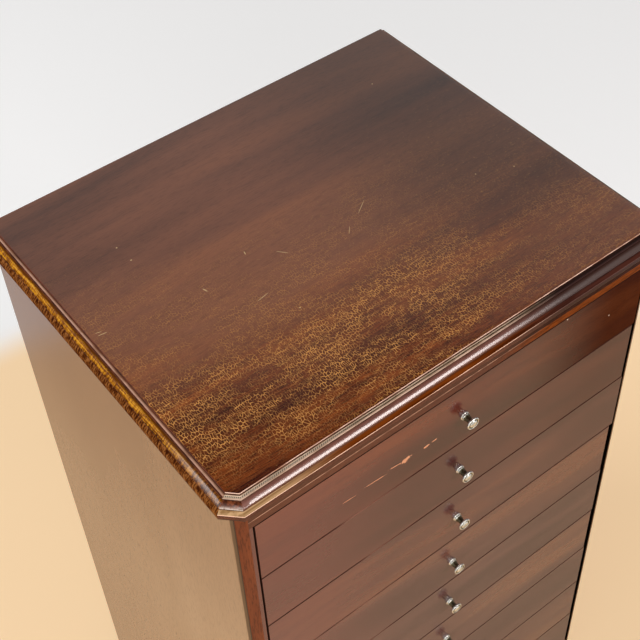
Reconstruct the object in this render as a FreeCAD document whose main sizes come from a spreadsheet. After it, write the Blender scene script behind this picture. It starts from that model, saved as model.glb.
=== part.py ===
# Sheet music cabinet: a narrow mahogany chest of nine shallow drawers hung on side runners.
# The origin is on the floor under the middle of the overall box, +Z is up and the drawers face -Y.
# Every length is in millimetres.

import FreeCAD
import Part
import Sketcher
import math
import os
import re

# The drawers are counted from the top, 1 to 9.
DRAWERS = 9
TAILS = 3

# Turns, the quarter in radians for an arc and the others in degrees
QUARTER = math.pi / 2
FULL_TURN = 360
KNOB_TURN = 180
NUT_TURN = -90

# How close two numbers must be to count as one place
TOUCH = 1e-6

# How much of rebate_play is left open at the right end of each drawer front
RIGHT_GAP_SHARES = (0.2, 0.55, 0.3, 1.0, 0.84, 1.0, 0.8, 0.84, 0.7)

# Places of the glue blocks along the free length between the rails under the top
TOP_BLOCK_SHARES = (0.12, 0.5, 0.88)

DRIVING = {
    # carcass
    "carcass_width": 500.0,
    "carcass_depth": 412.0,
    "side_thickness": 15.0,
    "corner_radius": 4.0,
    "plinth_height": 45.0,
    "plinth_thickness": 16.0,
    "plinth_setback": 3.0,
    "bottom_thickness": 14.0,
    "bottom_tongue": 5.0,
    "tongue_setback": 18.0,
    "back_thickness": 6.0,
    "back_rebate": 8.0,
    "rail_height": 36.3,
    "rear_rail_thickness": 18.0,
    "left_slip": 4.3,
    "right_lip": 4.7,
    "block_size": 16.0,
    "block_length": 60.0,
    "block_lift": 5.0,
    # top board and the moulding worked on its front and side edges
    "top_thickness": 20.5,
    "side_overhang": 10.0,
    "front_overhang": 13.0,
    "corner_cant": 9.0,
    "arris_drop": 2.0,
    "tread_width": 4.3,
    "quirk_drop": 2.0,
    "ovolo_radius": 5.0,
    "weathering_width": 3.2,
    "weathering_drop": 1.5,
    # drawer fronts
    "front_height": 83.6,
    "front_thickness": 14.0,
    "front_gap": 1.0,
    "front_edge": 0.6,
    "closing_gap": 0.3,
    "rebate_play": 6.2,
    # drawer boxes
    "box_thickness": 9.0,
    "box_rise": 7.0,
    "box_height": 68.0,
    "box_clearance": 19.0,
    "box_play": 1.0,
    "tail_length": 9.0,
    "tail_flare": 1.4,
    "tail_shoulder": 5.0,
    "panel_thickness": 4.0,
    "panel_rise": 6.0,
    "panel_tongue": 4.0,
    "back_inset": 8.0,
    "back_drop": 5.0,
    "back_housing": 3.0,
    # runners
    "runner_height": 12.0,
    "runner_bite": 4.0,
    "runner_setback": 6.0,
    "runner_rise": 28.0,
    "running_gap": 0.3,
    # knobs
    "knob_reach": 14.0,
    "knob_drop": 2.0,
    "knob_radius": 7.0,
    "knob_rim": 1.6,
    "knob_base_radius": 4.8,
    "knob_base_length": 1.6,
    "knob_stem_radius": 3.4,
    "knob_neck_reach": 9.6,
    "bolt_radius": 2.0,
    "bolt_clearance": 0.2,
    "bolt_tail": 2.0,
    "nut_radius": 4.0,
    "nut_length": 3.0,
}

doc = FreeCAD.newDocument("SheetMusicCabinet")
sheet = doc.addObject("Spreadsheet::Sheet", "Sizes")
for row, (alias, number) in enumerate(DRIVING.items(), start=1):
    sheet.set(f"A{row}", alias)
    sheet.set(f"B{row}", str(number))
    sheet.setAlias(f"B{row}", alias)
doc.recompute()


# Expressions

def formula(text):
    """The text with each driving dimension written as a reference to its cell."""
    def reference(match):
        word = match.group()
        return "Sizes." + word if word in DRIVING else word
    return re.sub(r"[a-z][a-z_]*", reference, str(text))


def size(text):
    """The present value of an expression."""
    return float(sheet.evalExpression(formula(text)))


# Places that several pieces share
LEFT = "(-carcass_width / 2)"
RIGHT = "(carcass_width / 2)"
FRONT = "((knob_reach - carcass_depth) / 2)"
REBATE = "(front_thickness + closing_gap)"
PITCH = "(front_height + front_gap)"
BASE = "(plinth_height + bottom_thickness)"
OPENING = f"({DRAWERS} * {PITCH} + front_gap)"
RAIL = f"({BASE} + {OPENING})"
SIDE_HEIGHT = f"({RAIL} + rail_height)"
INSIDE_DEPTH = "(carcass_depth - back_thickness)"
BOX_LEFT = f"({LEFT} + side_thickness + left_slip + box_play)"
BOX_RIGHT = f"({RIGHT} - side_thickness - box_play)"
BOX_WIDTH = "(carcass_width - 2 * side_thickness - left_slip - 2 * box_play)"
BOX_FRONT = f"({FRONT} + front_thickness - tail_length)"
BOX_SHIFT = "(box_play - front_gap)"
BOX_LENGTH = f"({INSIDE_DEPTH} - front_thickness + tail_length - box_clearance)"
INNER_WIDTH = f"({BOX_WIDTH} - 2 * box_thickness)"
BACK_HEIGHT = "(box_height - back_drop - panel_rise - panel_thickness)"
BOLT_LENGTH = "(front_thickness + nut_length + bolt_tail)"
FRONT_LEFT = f"({LEFT} + side_thickness + left_slip + front_gap)"
OPENING_WIDTH = "(carcass_width - side_thickness - left_slip - right_lip)"

# The moulding on the top: how far it reaches, the arris that it starts from and the lip that it ends in
REACH = "(tread_width + ovolo_radius + weathering_width)"
ARRIS_WIDTH = f"(carcass_width + 2 * side_overhang - 2 * {REACH})"
ARRIS_DEPTH = f"(carcass_depth + front_overhang - {REACH})"
LIP_HEIGHT = "(top_thickness - arris_drop - quirk_drop - ovolo_radius - weathering_drop)"


def front_base(number):
    """Height of the lower edge of a drawer's front."""
    below = DRAWERS - number
    return f"({BASE} + front_gap + {below} * {PITCH})"


def front_width(number):
    return f"({OPENING_WIDTH} - front_gap - {RIGHT_GAP_SHARES[number - 1]} * rebate_play)"


# Helpers for the features

def bind(thing, **expressions):
    for name, text in expressions.items():
        thing.setExpression(name, formula(text))


def place(piece, x, y, z):
    for axis, text in zip("xyz", (x, y, z)):
        piece.setExpression("Placement.Base." + axis, formula(text))


def new_body(name):
    body = doc.addObject("PartDesign::Body", name)
    body.Label = name
    return body


def new_sketch(body, name, plane, offset=None):
    """A sketch on one of the body's origin planes, moved along the plane's normal by offset."""
    sketch = body.newObject("Sketcher::SketchObject", name)
    origin_plane = next(item for item in body.Origin.OriginFeatures if item.Role == plane)
    sketch.AttachmentSupport = [(origin_plane, "")]
    sketch.MapMode = "FlatFace"
    if offset is not None:
        sketch.setExpression("AttachmentOffset.Base.z", formula(offset))
    return sketch


def pin(sketch, geometry, end, u, v):
    """Fix one point of a sketch by expressions for its two coordinates."""
    for kind, text, zero_line in (("DistanceX", u, -2), ("DistanceY", v, -1)):
        if text is None:
            continue
        if size(text) == 0:
            sketch.addConstraint(Sketcher.Constraint("PointOnObject", geometry, end, zero_line))
            continue
        index = sketch.addConstraint(Sketcher.Constraint(kind, -1, 1, geometry, end, size(text)))
        sketch.setExpression(f"Constraints[{index}]", formula(text))


def draw(sketch, corners, closed=True):
    """Join the corners with straight lines, each corner a pair of expressions."""
    points = [FreeCAD.Vector(size(u), size(v), 0) for u, v in corners]
    first = sketch.GeometryCount
    count = len(points) if closed else len(points) - 1
    for index in range(count):
        sketch.addGeometry(Part.LineSegment(points[index], points[(index + 1) % len(points)]))
    for index in range(count - 1):
        sketch.addConstraint(Sketcher.Constraint("Coincident", first + index, 2, first + index + 1, 1))
    if closed:
        sketch.addConstraint(Sketcher.Constraint("Coincident", first + count - 1, 2, first, 1))
    for index in range(count):
        pin(sketch, first + index, 1, *corners[index])
    if not closed:
        pin(sketch, first + count - 1, 2, *corners[-1])


def rectangle(u, v, width, height):
    return [(u, v), (f"{u} + {width}", v), (f"{u} + {width}", f"{v} + {height}"), (u, f"{v} + {height}")]


def pad(body, sketch, length, reverse=False):
    feature = body.newObject("PartDesign::Pad", sketch.Name + "_pad")
    feature.Profile = sketch
    feature.Reversed = reverse
    bind(feature, Length=length)
    return feature


def pocket(body, sketch, length, reverse=False):
    """Cut along the sketch's normal when reverse is set, and against it when not."""
    feature = body.newObject("PartDesign::Pocket", sketch.Name + "_pocket")
    feature.Profile = sketch
    feature.Reversed = reverse
    bind(feature, Length=length)
    return feature


def edges_where(shape, test):
    return [f"Edge{index}" for index, edge in enumerate(shape.Edges, start=1) if test(edge)]


def fillet(body, base, radius, test):
    doc.recompute()
    feature = body.newObject("PartDesign::Fillet", base.Name + "_fillet")
    feature.Base = (base, edges_where(base.Shape, test))
    bind(feature, Radius=radius)
    return feature


def chamfer(body, base, width, test):
    doc.recompute()
    feature = body.newObject("PartDesign::Chamfer", base.Name + "_chamfer")
    feature.Base = (base, edges_where(base.Shape, test))
    bind(feature, Size=width)
    return feature


def box(name, length, width, height):
    piece = doc.addObject("Part::Box", name)
    piece.Label = name
    bind(piece, Length=length, Width=width, Height=height)
    return piece


def group(name, members):
    """Several separate solids that share one node."""
    piece = doc.addObject("Part::Compound", name)
    piece.Label = name
    piece.Links = members
    return piece


def near(value, text):
    return abs(value - size(text)) < TOUCH


# Carcass

def make_top():
    """The top board: canted front corners and one moulding, mitred round them, on three edges."""
    body = new_body("top")
    board = new_sketch(body, "board_outline", "XY_Plane")
    cant_line = [(ARRIS_WIDTH, ARRIS_DEPTH), (ARRIS_WIDTH, "corner_cant"),
                 (f"{ARRIS_WIDTH} - corner_cant", "0"), ("corner_cant", "0"),
                 ("0", "corner_cant"), ("0", ARRIS_DEPTH)]
    draw(board, cant_line)
    pad(body, board, "top_thickness")
    path = new_sketch(body, "moulding_path", "XY_Plane")
    draw(path, cant_line, closed=False)
    section = moulding_section(body)
    doc.recompute()
    moulding = body.newObject("PartDesign::AdditivePipe", "moulding")
    moulding.Profile = section
    moulding.Spine = (path, [f"Edge{index + 1}" for index in range(path.GeometryCount)])
    moulding.Transition = "Right corner"
    place(body, f"-{ARRIS_WIDTH} / 2", f"{FRONT} - front_overhang + {REACH}", SIDE_HEIGHT)
    return body


def moulding_section(body):
    """The moulding's section: drop, tread, quirk, ovolo, weathering and lip."""
    section = new_sketch(body, "moulding_section", "XZ_Plane", f"-{ARRIS_DEPTH}")
    outer = f"{ARRIS_WIDTH} + {REACH}"
    tread = f"{ARRIS_WIDTH} + tread_width"
    shelf = f"{LIP_HEIGHT} + weathering_drop"
    tread_height = "top_thickness - arris_drop"
    draw(section, [(tread, tread_height), (ARRIS_WIDTH, tread_height), (ARRIS_WIDTH, "0"), (outer, "0"),
                   (outer, LIP_HEIGHT), (f"{tread} + ovolo_radius", shelf)], closed=False)
    last = section.GeometryCount - 1
    centre = FreeCAD.Vector(size(tread), size(shelf), 0)
    circle = Part.Circle(centre, FreeCAD.Vector(0, 0, 1), size("ovolo_radius"))
    ovolo = section.addGeometry(Part.ArcOfCircle(circle, 0, QUARTER))
    quirk_foot = centre + FreeCAD.Vector(0, size("ovolo_radius"), 0)
    quirk_head = FreeCAD.Vector(size(tread), size(tread_height), 0)
    quirk = section.addGeometry(Part.LineSegment(quirk_foot, quirk_head))
    for first, first_end, second, second_end in ((last, 2, ovolo, 1), (ovolo, 2, quirk, 1), (quirk, 2, 0, 1)):
        section.addConstraint(Sketcher.Constraint("Coincident", first, first_end, second, second_end))
    pin(section, ovolo, 3, tread, shelf)
    pin(section, ovolo, 2, tread, None)
    return section


def make_side(name, hand):
    """One side board: rebated for the back and housed for the bottom, its front corner rounded."""
    body = new_body(name)
    plan = new_sketch(body, name + "_plan", "XY_Plane")
    thick = "side_thickness"
    if hand == "left":
        draw(plan, [("0", "0"), (thick, "0"), (thick, INSIDE_DEPTH), (f"{thick} - back_rebate", INSIDE_DEPTH),
                    (f"{thick} - back_rebate", "carcass_depth"), ("0", "carcass_depth")])
    else:
        draw(plan, [("0", "0"), (thick, "0"), (thick, "carcass_depth"), ("back_rebate", "carcass_depth"),
                    ("back_rebate", INSIDE_DEPTH), ("0", INSIDE_DEPTH)])
    board = pad(body, plan, SIDE_HEIGHT)
    corner = "0" if hand == "left" else thick

    def is_front_corner(edge):
        centre = edge.CenterOfMass
        return near(centre.x, corner) and near(centre.y, "0")

    fillet(body, board, "corner_radius", is_front_corner)
    housing = new_sketch(body, name + "_housing", "YZ_Plane", thick if hand == "left" else None)
    draw(housing, rectangle("tongue_setback", "plinth_height", f"{INSIDE_DEPTH} - tongue_setback",
                            "bottom_thickness"))
    pocket(body, housing, "bottom_tongue", reverse=hand == "right")
    if hand == "right":
        rebate = new_sketch(body, name + "_rebate", "YZ_Plane")
        draw(rebate, rectangle("0", BASE, REBATE, f"{OPENING} + rail_height"))
        pocket(body, rebate, f"{thick} - right_lip", reverse=True)
    place(body, LEFT if hand == "left" else f"{RIGHT} - {thick}", FRONT, "0")
    return body


def make_bottom_board():
    body = new_body("bottom_board")
    plan = new_sketch(body, "bottom_plan", "XY_Plane")
    inner = "bottom_tongue + carcass_width - 2 * side_thickness"
    outer = f"{inner} + bottom_tongue"
    draw(plan, [("bottom_tongue", "0"), (inner, "0"), (inner, "tongue_setback"), (outer, "tongue_setback"),
                (outer, INSIDE_DEPTH), ("0", INSIDE_DEPTH), ("0", "tongue_setback"),
                ("bottom_tongue", "tongue_setback")])
    pad(body, plan, "bottom_thickness")
    place(body, f"{LEFT} + side_thickness - bottom_tongue", FRONT, "plinth_height")
    return body


def make_boards():
    """The straight rails, the plinth, the back panel and the slip beside the left stile."""
    between = "carcass_width - 2 * side_thickness"
    inside_left = f"{LEFT} + side_thickness"
    rail = box("top_rail", "carcass_width - side_thickness - right_lip", REBATE, "rail_height")
    place(rail, inside_left, FRONT, RAIL)
    rear_rail = box("rear_rail", between, "rear_rail_thickness", "rail_height")
    place(rear_rail, inside_left, f"{FRONT} + {INSIDE_DEPTH} - rear_rail_thickness", RAIL)
    plinth = box("plinth", between, "plinth_thickness", "plinth_height")
    place(plinth, inside_left, f"{FRONT} + plinth_setback", "0")
    back = box("back_panel", f"{between} + 2 * back_rebate", "back_thickness",
               f"{SIDE_HEIGHT} - plinth_height")
    place(back, f"{inside_left} - back_rebate", f"{FRONT} + {INSIDE_DEPTH}", "plinth_height")
    slip = box("left_slip", "left_slip", REBATE, OPENING)
    place(slip, inside_left, FRONT, BASE)
    return [rail, rear_rail, plinth, back, slip]


def make_blocks():
    """Glue blocks in the angles under the top and behind the plinth."""
    inside_left = f"{LEFT} + side_thickness"
    inside_right = f"{RIGHT} - side_thickness - block_size"
    free = f"({INSIDE_DEPTH} - rear_rail_thickness - {REBATE} - block_length)"
    under_top = []
    behind_plinth = []
    for hand, x in (("left", inside_left), ("right", inside_right)):
        for number, share in enumerate(TOP_BLOCK_SHARES, start=1):
            block = box(f"{hand}_top_block_{number}", "block_size", "block_length", "block_size")
            place(block, x, f"{FRONT} + {REBATE} + {share} * {free}", f"{SIDE_HEIGHT} - block_size")
            under_top.append(block)
        block = box(f"{hand}_plinth_block", "block_size", "block_size", "plinth_height - block_lift")
        place(block, x, f"{FRONT} + plinth_setback + plinth_thickness", "block_lift")
        behind_plinth.append(block)
    return [group("top_blocks", under_top), group("plinth_blocks", behind_plinth)]


def make_runners(hand):
    """The strips on one side board that the drawers hang on."""
    width = "box_play + runner_bite"
    x = f"{RIGHT} - side_thickness - box_play - runner_bite"
    if hand == "left":
        width = "left_slip + box_play + runner_bite"
        x = f"{LEFT} + side_thickness"
    strips = []
    for number in range(1, DRAWERS + 1):
        strip = box(f"{hand}_runner_{number}", width, f"{INSIDE_DEPTH} - front_thickness - runner_setback",
                    "runner_height")
        place(strip, x, f"{FRONT} + front_thickness + runner_setback",
              f"{front_base(number)} + box_rise + runner_rise")
        strips.append(strip)
    return group(hand + "_runners", strips)


# Drawers

def tail_corners(number, root, tip):
    """The four corners of one dovetail in a side view, its root at depth root and its end at tip."""
    centre = f"({2 * number + 1} * box_height / {2 * TAILS})"
    half_root = f"(box_height / {2 * TAILS} - tail_shoulder)"
    half_tip = f"({half_root} + tail_flare)"
    return [(root, f"{centre} - {half_root}"), (tip, f"{centre} - {half_tip}"),
            (tip, f"{centre} + {half_tip}"), (root, f"{centre} + {half_root}")]


def make_drawer_side(name, hand):
    """A drawer side: dovetails at the front, a runner groove outside, housings for panel and back inside."""
    body = new_body(name)
    outline = new_sketch(body, name + "_outline", "YZ_Plane")
    corners = [("tail_length", "0")]
    for number in range(TAILS):
        corners += tail_corners(number, "tail_length", "0")
    corners += [("tail_length", "box_height"), (BOX_LENGTH, "box_height"), (BOX_LENGTH, "0")]
    draw(outline, corners)
    pad(body, outline, "box_thickness")
    outer, inner = (None, "box_thickness") if hand == "left" else ("box_thickness", None)
    groove = new_sketch(body, name + "_groove", "YZ_Plane", outer)
    draw(groove, rectangle("tail_length", "runner_rise - running_gap",
                           f"{BOX_LENGTH} - tail_length", "runner_height + 2 * running_gap"))
    pocket(body, groove, "runner_bite + running_gap", reverse=hand == "left")
    slot = new_sketch(body, name + "_slot", "YZ_Plane", inner)
    draw(slot, rectangle("tail_length - panel_tongue", "panel_rise",
                         f"{BOX_LENGTH} - tail_length + panel_tongue", "panel_thickness"))
    pocket(body, slot, "panel_tongue", reverse=hand == "right")
    housing = new_sketch(body, name + "_back_housing", "YZ_Plane", inner)
    draw(housing, rectangle(f"{BOX_LENGTH} - back_inset - box_thickness", "panel_rise + panel_thickness",
                            "box_thickness", BACK_HEIGHT))
    pocket(body, housing, "back_housing", reverse=hand == "right")
    return body


def make_drawer_front(name, number):
    """A drawer front with eased edges, blind sockets for the tails, a panel groove and a bolt hole."""
    body = new_body(name)
    width = front_width(number)
    face = new_sketch(body, name + "_face", "XZ_Plane")
    draw(face, rectangle("0", "0", width, "front_height"))
    board = pad(body, face, "front_thickness", reverse=True)
    chamfer(body, board, "front_edge", lambda edge: near(edge.CenterOfMass.y, "0"))
    for hand, offset in (("left", BOX_SHIFT), ("right", f"{BOX_SHIFT} + {BOX_WIDTH} - box_thickness")):
        sockets = new_sketch(body, f"{name}_{hand}_sockets", "YZ_Plane", offset)
        for tail in range(TAILS):
            corners = tail_corners(tail, "front_thickness", "front_thickness - tail_length")
            draw(sockets, [(u, f"{v} + box_rise") for u, v in corners])
        pocket(body, sockets, "box_thickness", reverse=True)
    slot = new_sketch(body, name + "_slot", "XZ_Plane", "-front_thickness")
    draw(slot, rectangle(f"{BOX_SHIFT} + box_thickness - panel_tongue", "box_rise + panel_rise",
                         f"{INNER_WIDTH} + 2 * panel_tongue", "panel_thickness"))
    pocket(body, slot, "panel_tongue", reverse=True)
    hole = new_sketch(body, name + "_hole", "XZ_Plane")
    middle = (f"{width} / 2", "front_height / 2 - knob_drop")
    bore = "bolt_radius + bolt_clearance"
    centre = FreeCAD.Vector(size(middle[0]), size(middle[1]), 0)
    hole.addGeometry(Part.Circle(centre, FreeCAD.Vector(0, 0, 1), size(bore)))
    pin(hole, 0, 3, *middle)
    index = hole.addConstraint(Sketcher.Constraint("Radius", 0, size(bore)))
    hole.setExpression(f"Constraints[{index}]", formula(bore))
    pocket(body, hole, "front_thickness")
    return body


def make_knob(name):
    """A turned knob in one piece with its bolt: sloping base ring, stem, flared head and rim."""
    body = new_body(name)
    half = new_sketch(body, name + "_section", "XY_Plane")
    out = BOLT_LENGTH
    draw(half, [("0", "0"), ("bolt_radius", "0"), ("bolt_radius", out), ("knob_base_radius", out),
                ("knob_stem_radius", f"{out} + knob_base_length"),
                ("knob_stem_radius", f"{out} + knob_neck_reach"),
                ("knob_radius", f"{out} + knob_reach - knob_rim"),
                ("knob_radius", f"{out} + knob_reach"),
                ("0", f"{out} + knob_reach")])
    turning = body.newObject("PartDesign::Revolution", name + "_turning")
    turning.Profile = half
    turning.ReferenceAxis = (half, ["V_Axis"])
    turning.Angle = FULL_TURN
    body.Placement.Rotation = FreeCAD.Rotation(FreeCAD.Vector(0, 0, 1), KNOB_TURN)
    return body


def make_nut(name):
    blank = doc.addObject("Part::Prism", name + "_blank")
    bind(blank, Circumradius="nut_radius", Height="nut_length")
    bore = doc.addObject("Part::Cylinder", name + "_bore")
    bind(bore, Radius="bolt_radius + bolt_clearance", Height="nut_length")
    nut = doc.addObject("Part::Cut", name)
    nut.Base = blank
    nut.Tool = bore
    nut.Placement.Rotation = FreeCAD.Rotation(FreeCAD.Vector(1, 0, 0), NUT_TURN)
    return nut


def make_drawer(number):
    name = f"drawer_{number}_"
    base = front_base(number)
    box_base = f"{base} + box_rise"
    front = make_drawer_front(name + "front", number)
    place(front, FRONT_LEFT, FRONT, base)
    left = make_drawer_side(name + "left_side", "left")
    place(left, BOX_LEFT, BOX_FRONT, box_base)
    right = make_drawer_side(name + "right_side", "right")
    place(right, f"{BOX_RIGHT} - box_thickness", BOX_FRONT, box_base)
    sides = group(name + "sides", [left, right])
    back = box(name + "back", f"{INNER_WIDTH} + 2 * back_housing", "box_thickness", BACK_HEIGHT)
    place(back, f"{BOX_LEFT} + box_thickness - back_housing",
          f"{BOX_FRONT} + {BOX_LENGTH} - back_inset - box_thickness",
          f"{box_base} + panel_rise + panel_thickness")
    panel = box(name + "bottom", f"{INNER_WIDTH} + 2 * panel_tongue",
                f"{BOX_LENGTH} - tail_length + panel_tongue", "panel_thickness")
    place(panel, f"{BOX_LEFT} + box_thickness - panel_tongue", f"{BOX_FRONT} + tail_length - panel_tongue",
          f"{box_base} + panel_rise")
    x = f"{FRONT_LEFT} + {front_width(number)} / 2"
    z = f"{base} + front_height / 2 - knob_drop"
    turning = make_knob(name + "turning")
    place(turning, x, f"{FRONT} + {BOLT_LENGTH}", z)
    nut = make_nut(name + "nut")
    place(nut, x, f"{FRONT} + front_thickness", z)
    knob = group(name + "knob", [turning, nut])
    return [front, sides, back, panel, knob]


# Assembly

pieces = [make_top(), make_side("left_side", "left"), make_side("right_side", "right"), make_bottom_board()]
pieces += make_boards()
pieces += make_blocks()
pieces += [make_runners("left"), make_runners("right")]
for drawer in range(1, DRAWERS + 1):
    pieces += make_drawer(drawer)
doc.recompute()

for item in doc.Objects:
    if "Invalid" in item.State or "Error" in item.State:
        raise RuntimeError(f"{item.Label} failed: {item.State}")
for piece in pieces:
    if piece.Shape.isNull() or not piece.Shape.isValid():
        raise RuntimeError(f"{piece.Label} has no valid shape")

os.makedirs("parts", exist_ok=True)
for piece in pieces:
    piece.Shape.exportStep(f"parts/{piece.Label}.step")
print(len(pieces), "pieces written")
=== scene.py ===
import bpy
import math
from mathutils import Matrix, Vector, noise


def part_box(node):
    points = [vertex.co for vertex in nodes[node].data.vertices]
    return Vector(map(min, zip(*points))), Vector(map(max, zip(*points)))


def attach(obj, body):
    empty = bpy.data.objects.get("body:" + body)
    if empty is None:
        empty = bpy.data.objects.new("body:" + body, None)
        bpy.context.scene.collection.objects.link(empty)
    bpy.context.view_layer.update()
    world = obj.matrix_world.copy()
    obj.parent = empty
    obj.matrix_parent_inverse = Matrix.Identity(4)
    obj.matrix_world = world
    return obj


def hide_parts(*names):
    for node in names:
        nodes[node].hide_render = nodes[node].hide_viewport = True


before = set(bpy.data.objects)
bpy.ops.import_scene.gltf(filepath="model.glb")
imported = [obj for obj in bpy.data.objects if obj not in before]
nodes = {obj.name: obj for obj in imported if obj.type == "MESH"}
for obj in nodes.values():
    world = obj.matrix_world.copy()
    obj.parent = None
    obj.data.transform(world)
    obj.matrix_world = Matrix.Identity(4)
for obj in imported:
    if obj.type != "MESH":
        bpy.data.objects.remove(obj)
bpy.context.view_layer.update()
scene = bpy.context.scene
scene.view_settings.view_transform = "Standard"

# Lengths are in metres and angles in degrees, except where a comment says otherwise
MM = 0.001
DRAWERS = 9
ALONG_X, ALONG_Y, ALONG_Z = range(3)
UP = (0.0, 0.0, 1.0)
BACK = (0.0, 1.0, 0.0)
WHITE = (1.0, 1.0, 1.0)
TOP_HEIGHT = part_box("top")[1].z

# The camera of the photograph: focal length, frame and middle row in pixels, sensor in millimetres
CAMERA_PLACE = (-0.5112, -0.7080, 1.7144)
CAMERA_AZIMUTH = 35.41
CAMERA_DROP = 46.55
CAMERA_ROLL = -3.14
FOCAL_PIXELS = 1260.0
FRAME_PIXELS = 640
MIDDLE_ROW = 288
SENSOR = 36.0


# Node trees

# The node tree that is being made, and the sockets of the Mix node for colours
tree = None
MIX_COLOURS, MIX_RESULT = (6, 7), 2


def work_in(new_tree):
    """Makes a node tree the one that nodes are added to."""
    global tree
    tree = new_tree


def plug(node, inputs):
    """Gives inputs of a node a value or another node's output each."""
    for key, value in inputs.items():
        if isinstance(value, bpy.types.NodeSocket):
            tree.links.new(value, node.inputs[key])
        else:
            node.inputs[key].default_value = value


def add(kind, inputs=None, **settings):
    """A shader node with its settings and its inputs."""
    made = tree.nodes.new("ShaderNode" + kind)
    for name, value in settings.items():
        setattr(made, name, value)
    plug(made, inputs or {})
    return made


def calc(operation, first, second=0.0):
    return add("Math", {0: first, 1: second}, operation=operation).outputs[0]


def times(first, second):
    return calc("MULTIPLY", first, second)


def centred(value):
    """A noise, which lies about a half, moved to lie about zero."""
    return calc("SUBTRACT", value, 0.5)


def between(value, low, high, to_low=0.0, to_high=1.0):
    """The value mapped smoothly from low..high to to_low..to_high."""
    inputs = {"Value": value, "From Min": low, "From Max": high, "To Min": to_low, "To Max": to_high}
    return add("MapRange", inputs, interpolation_type="SMOOTHSTEP").outputs[0]


def falling(value, low, high):
    """1 at low, going over smoothly to 0 at high."""
    return between(value, low, high, 1.0, 0.0)


def vector_calc(operation, first, second):
    return add("VectorMath", {0: first, 1: second}, operation=operation).outputs[0]


def length_of(vector):
    return add("VectorMath", {0: vector}, operation="LENGTH").outputs["Value"]


def turned(vector, angle, axis):
    inputs = {"Vector": vector, "Angle": math.radians(angle), "Axis": axis}
    return add("VectorRotate", inputs).outputs[0]


def blend(share, first, second, how="MIX"):
    """The first colour, going over to the second with the share."""
    inputs = {"Factor": share}
    for socket, value in zip(MIX_COLOURS, (first, second)):
        inputs[socket] = value if isinstance(value, bpy.types.NodeSocket) else (*value, 1.0)
    return add("Mix", inputs, data_type="RGBA", blend_type=how).outputs[MIX_RESULT]


def grey(value):
    return add("CombineColor", {0: value, 1: value, 2: value}).outputs[0]


def darken(colour, factor):
    """A colour times a grey factor."""
    return blend(1.0, colour, grey(factor), "MULTIPLY")


def ramp(share, stops):
    """A colour ramp from (place, colour) stops."""
    made = add("ValToRGB", {"Fac": share})
    band = made.color_ramp
    while len(band.elements) < len(stops):
        band.elements.new(0.5)
    for element, (place, colour) in zip(band.elements, stops):
        element.position = place
        element.color = (*colour, 1.0)
    return made.outputs["Color"]


def toned(share, tones, half):
    """A colour ramp from the first tone to the third, half to either side of a middle share."""
    return ramp(share, [(0.5 - half, tones[0]), (0.5, tones[1]), (0.5 + half, tones[2])])


def object_point():
    return add("TexCoord").outputs["Object"]


def parts(vector):
    return add("SeparateXYZ", {0: vector}).outputs


def stretched(point, scale, shift=(0.0, 0.0, 0.0)):
    return add("Mapping", {"Vector": point, "Location": shift, "Scale": scale}).outputs[0]


def noise_at(point, scale, detail=2.0, roughness=0.5):
    inputs = {"Vector": point, "Scale": scale, "Detail": detail, "Roughness": roughness}
    return add("TexNoise", inputs).outputs["Fac"]


def along_grain(axis, stretch):
    """A scale that draws a pattern out along one axis."""
    return tuple(stretch if index == axis else 1.0 for index in range(3))


def bump(height, distance, strength=1.0, normal=None):
    inputs = {"Height": height, "Distance": distance, "Strength": strength}
    if normal is not None:
        inputs["Normal"] = normal
    return add("Bump", inputs).outputs[0]


def new_material(name):
    """A material, its shader, and the point on the object. Nodes are added to its tree from here on."""
    made = bpy.data.materials.new(name)
    made.use_nodes = True
    work_in(made.node_tree)
    return made, tree.nodes["Principled BSDF"], object_point()


# Woods, each as three tones from dark to bright

TOP_TONES = ((0.079, 0.033, 0.022), (0.174, 0.066, 0.037), (0.240, 0.088, 0.042))
DULL_TONES = ((0.045, 0.020, 0.014), (0.084, 0.033, 0.019), (0.118, 0.045, 0.022))
FIERY_TONES = ((0.062, 0.011, 0.004), (0.200, 0.042, 0.006), (0.460, 0.120, 0.014))
RED_TONES = ((0.038, 0.006, 0.006), (0.074, 0.010, 0.008), (0.155, 0.029, 0.012))
# Greyish tones: a painted sheen of bluish window light on the lower fronts
GREY_SHEEN_TONES = ((0.064, 0.026, 0.026), (0.108, 0.045, 0.040), (0.180, 0.074, 0.047))
# The front round's purple brown: its wood, with a painted reflection of the room's light
OVOLO_TONES = ((0.130, 0.052, 0.037), (0.210, 0.084, 0.062), (0.265, 0.110, 0.077))
SIDE_TONES = ((0.150, 0.052, 0.016), (0.182, 0.068, 0.022), (0.220, 0.090, 0.032))
# Paler side tones: a painted reflection of the pale floor
SHEENED_SIDE_TONES = ((0.310, 0.171, 0.083), (0.353, 0.203, 0.105), (0.396, 0.235, 0.126))
# Dark red: painted shade for a dimmer reflection at the fronts' right ends
SHADED_RED_TONES = ((0.036, 0.007, 0.003), (0.064, 0.014, 0.004), (0.104, 0.027, 0.008))
RAIL_TONES = ((0.058, 0.012, 0.006), (0.088, 0.022, 0.012), (0.136, 0.040, 0.019))
STILE_TONES = ((0.100, 0.020, 0.007), (0.185, 0.042, 0.013), (0.290, 0.074, 0.024))
PALE_TONES = ((0.36, 0.24, 0.13), (0.52, 0.38, 0.22), (0.62, 0.47, 0.29))
PINE_TONES = ((0.26, 0.15, 0.07), (0.40, 0.26, 0.13), (0.50, 0.34, 0.18))
PLY_TONES = ((0.33, 0.21, 0.11), (0.45, 0.31, 0.17), (0.53, 0.38, 0.22))

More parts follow.
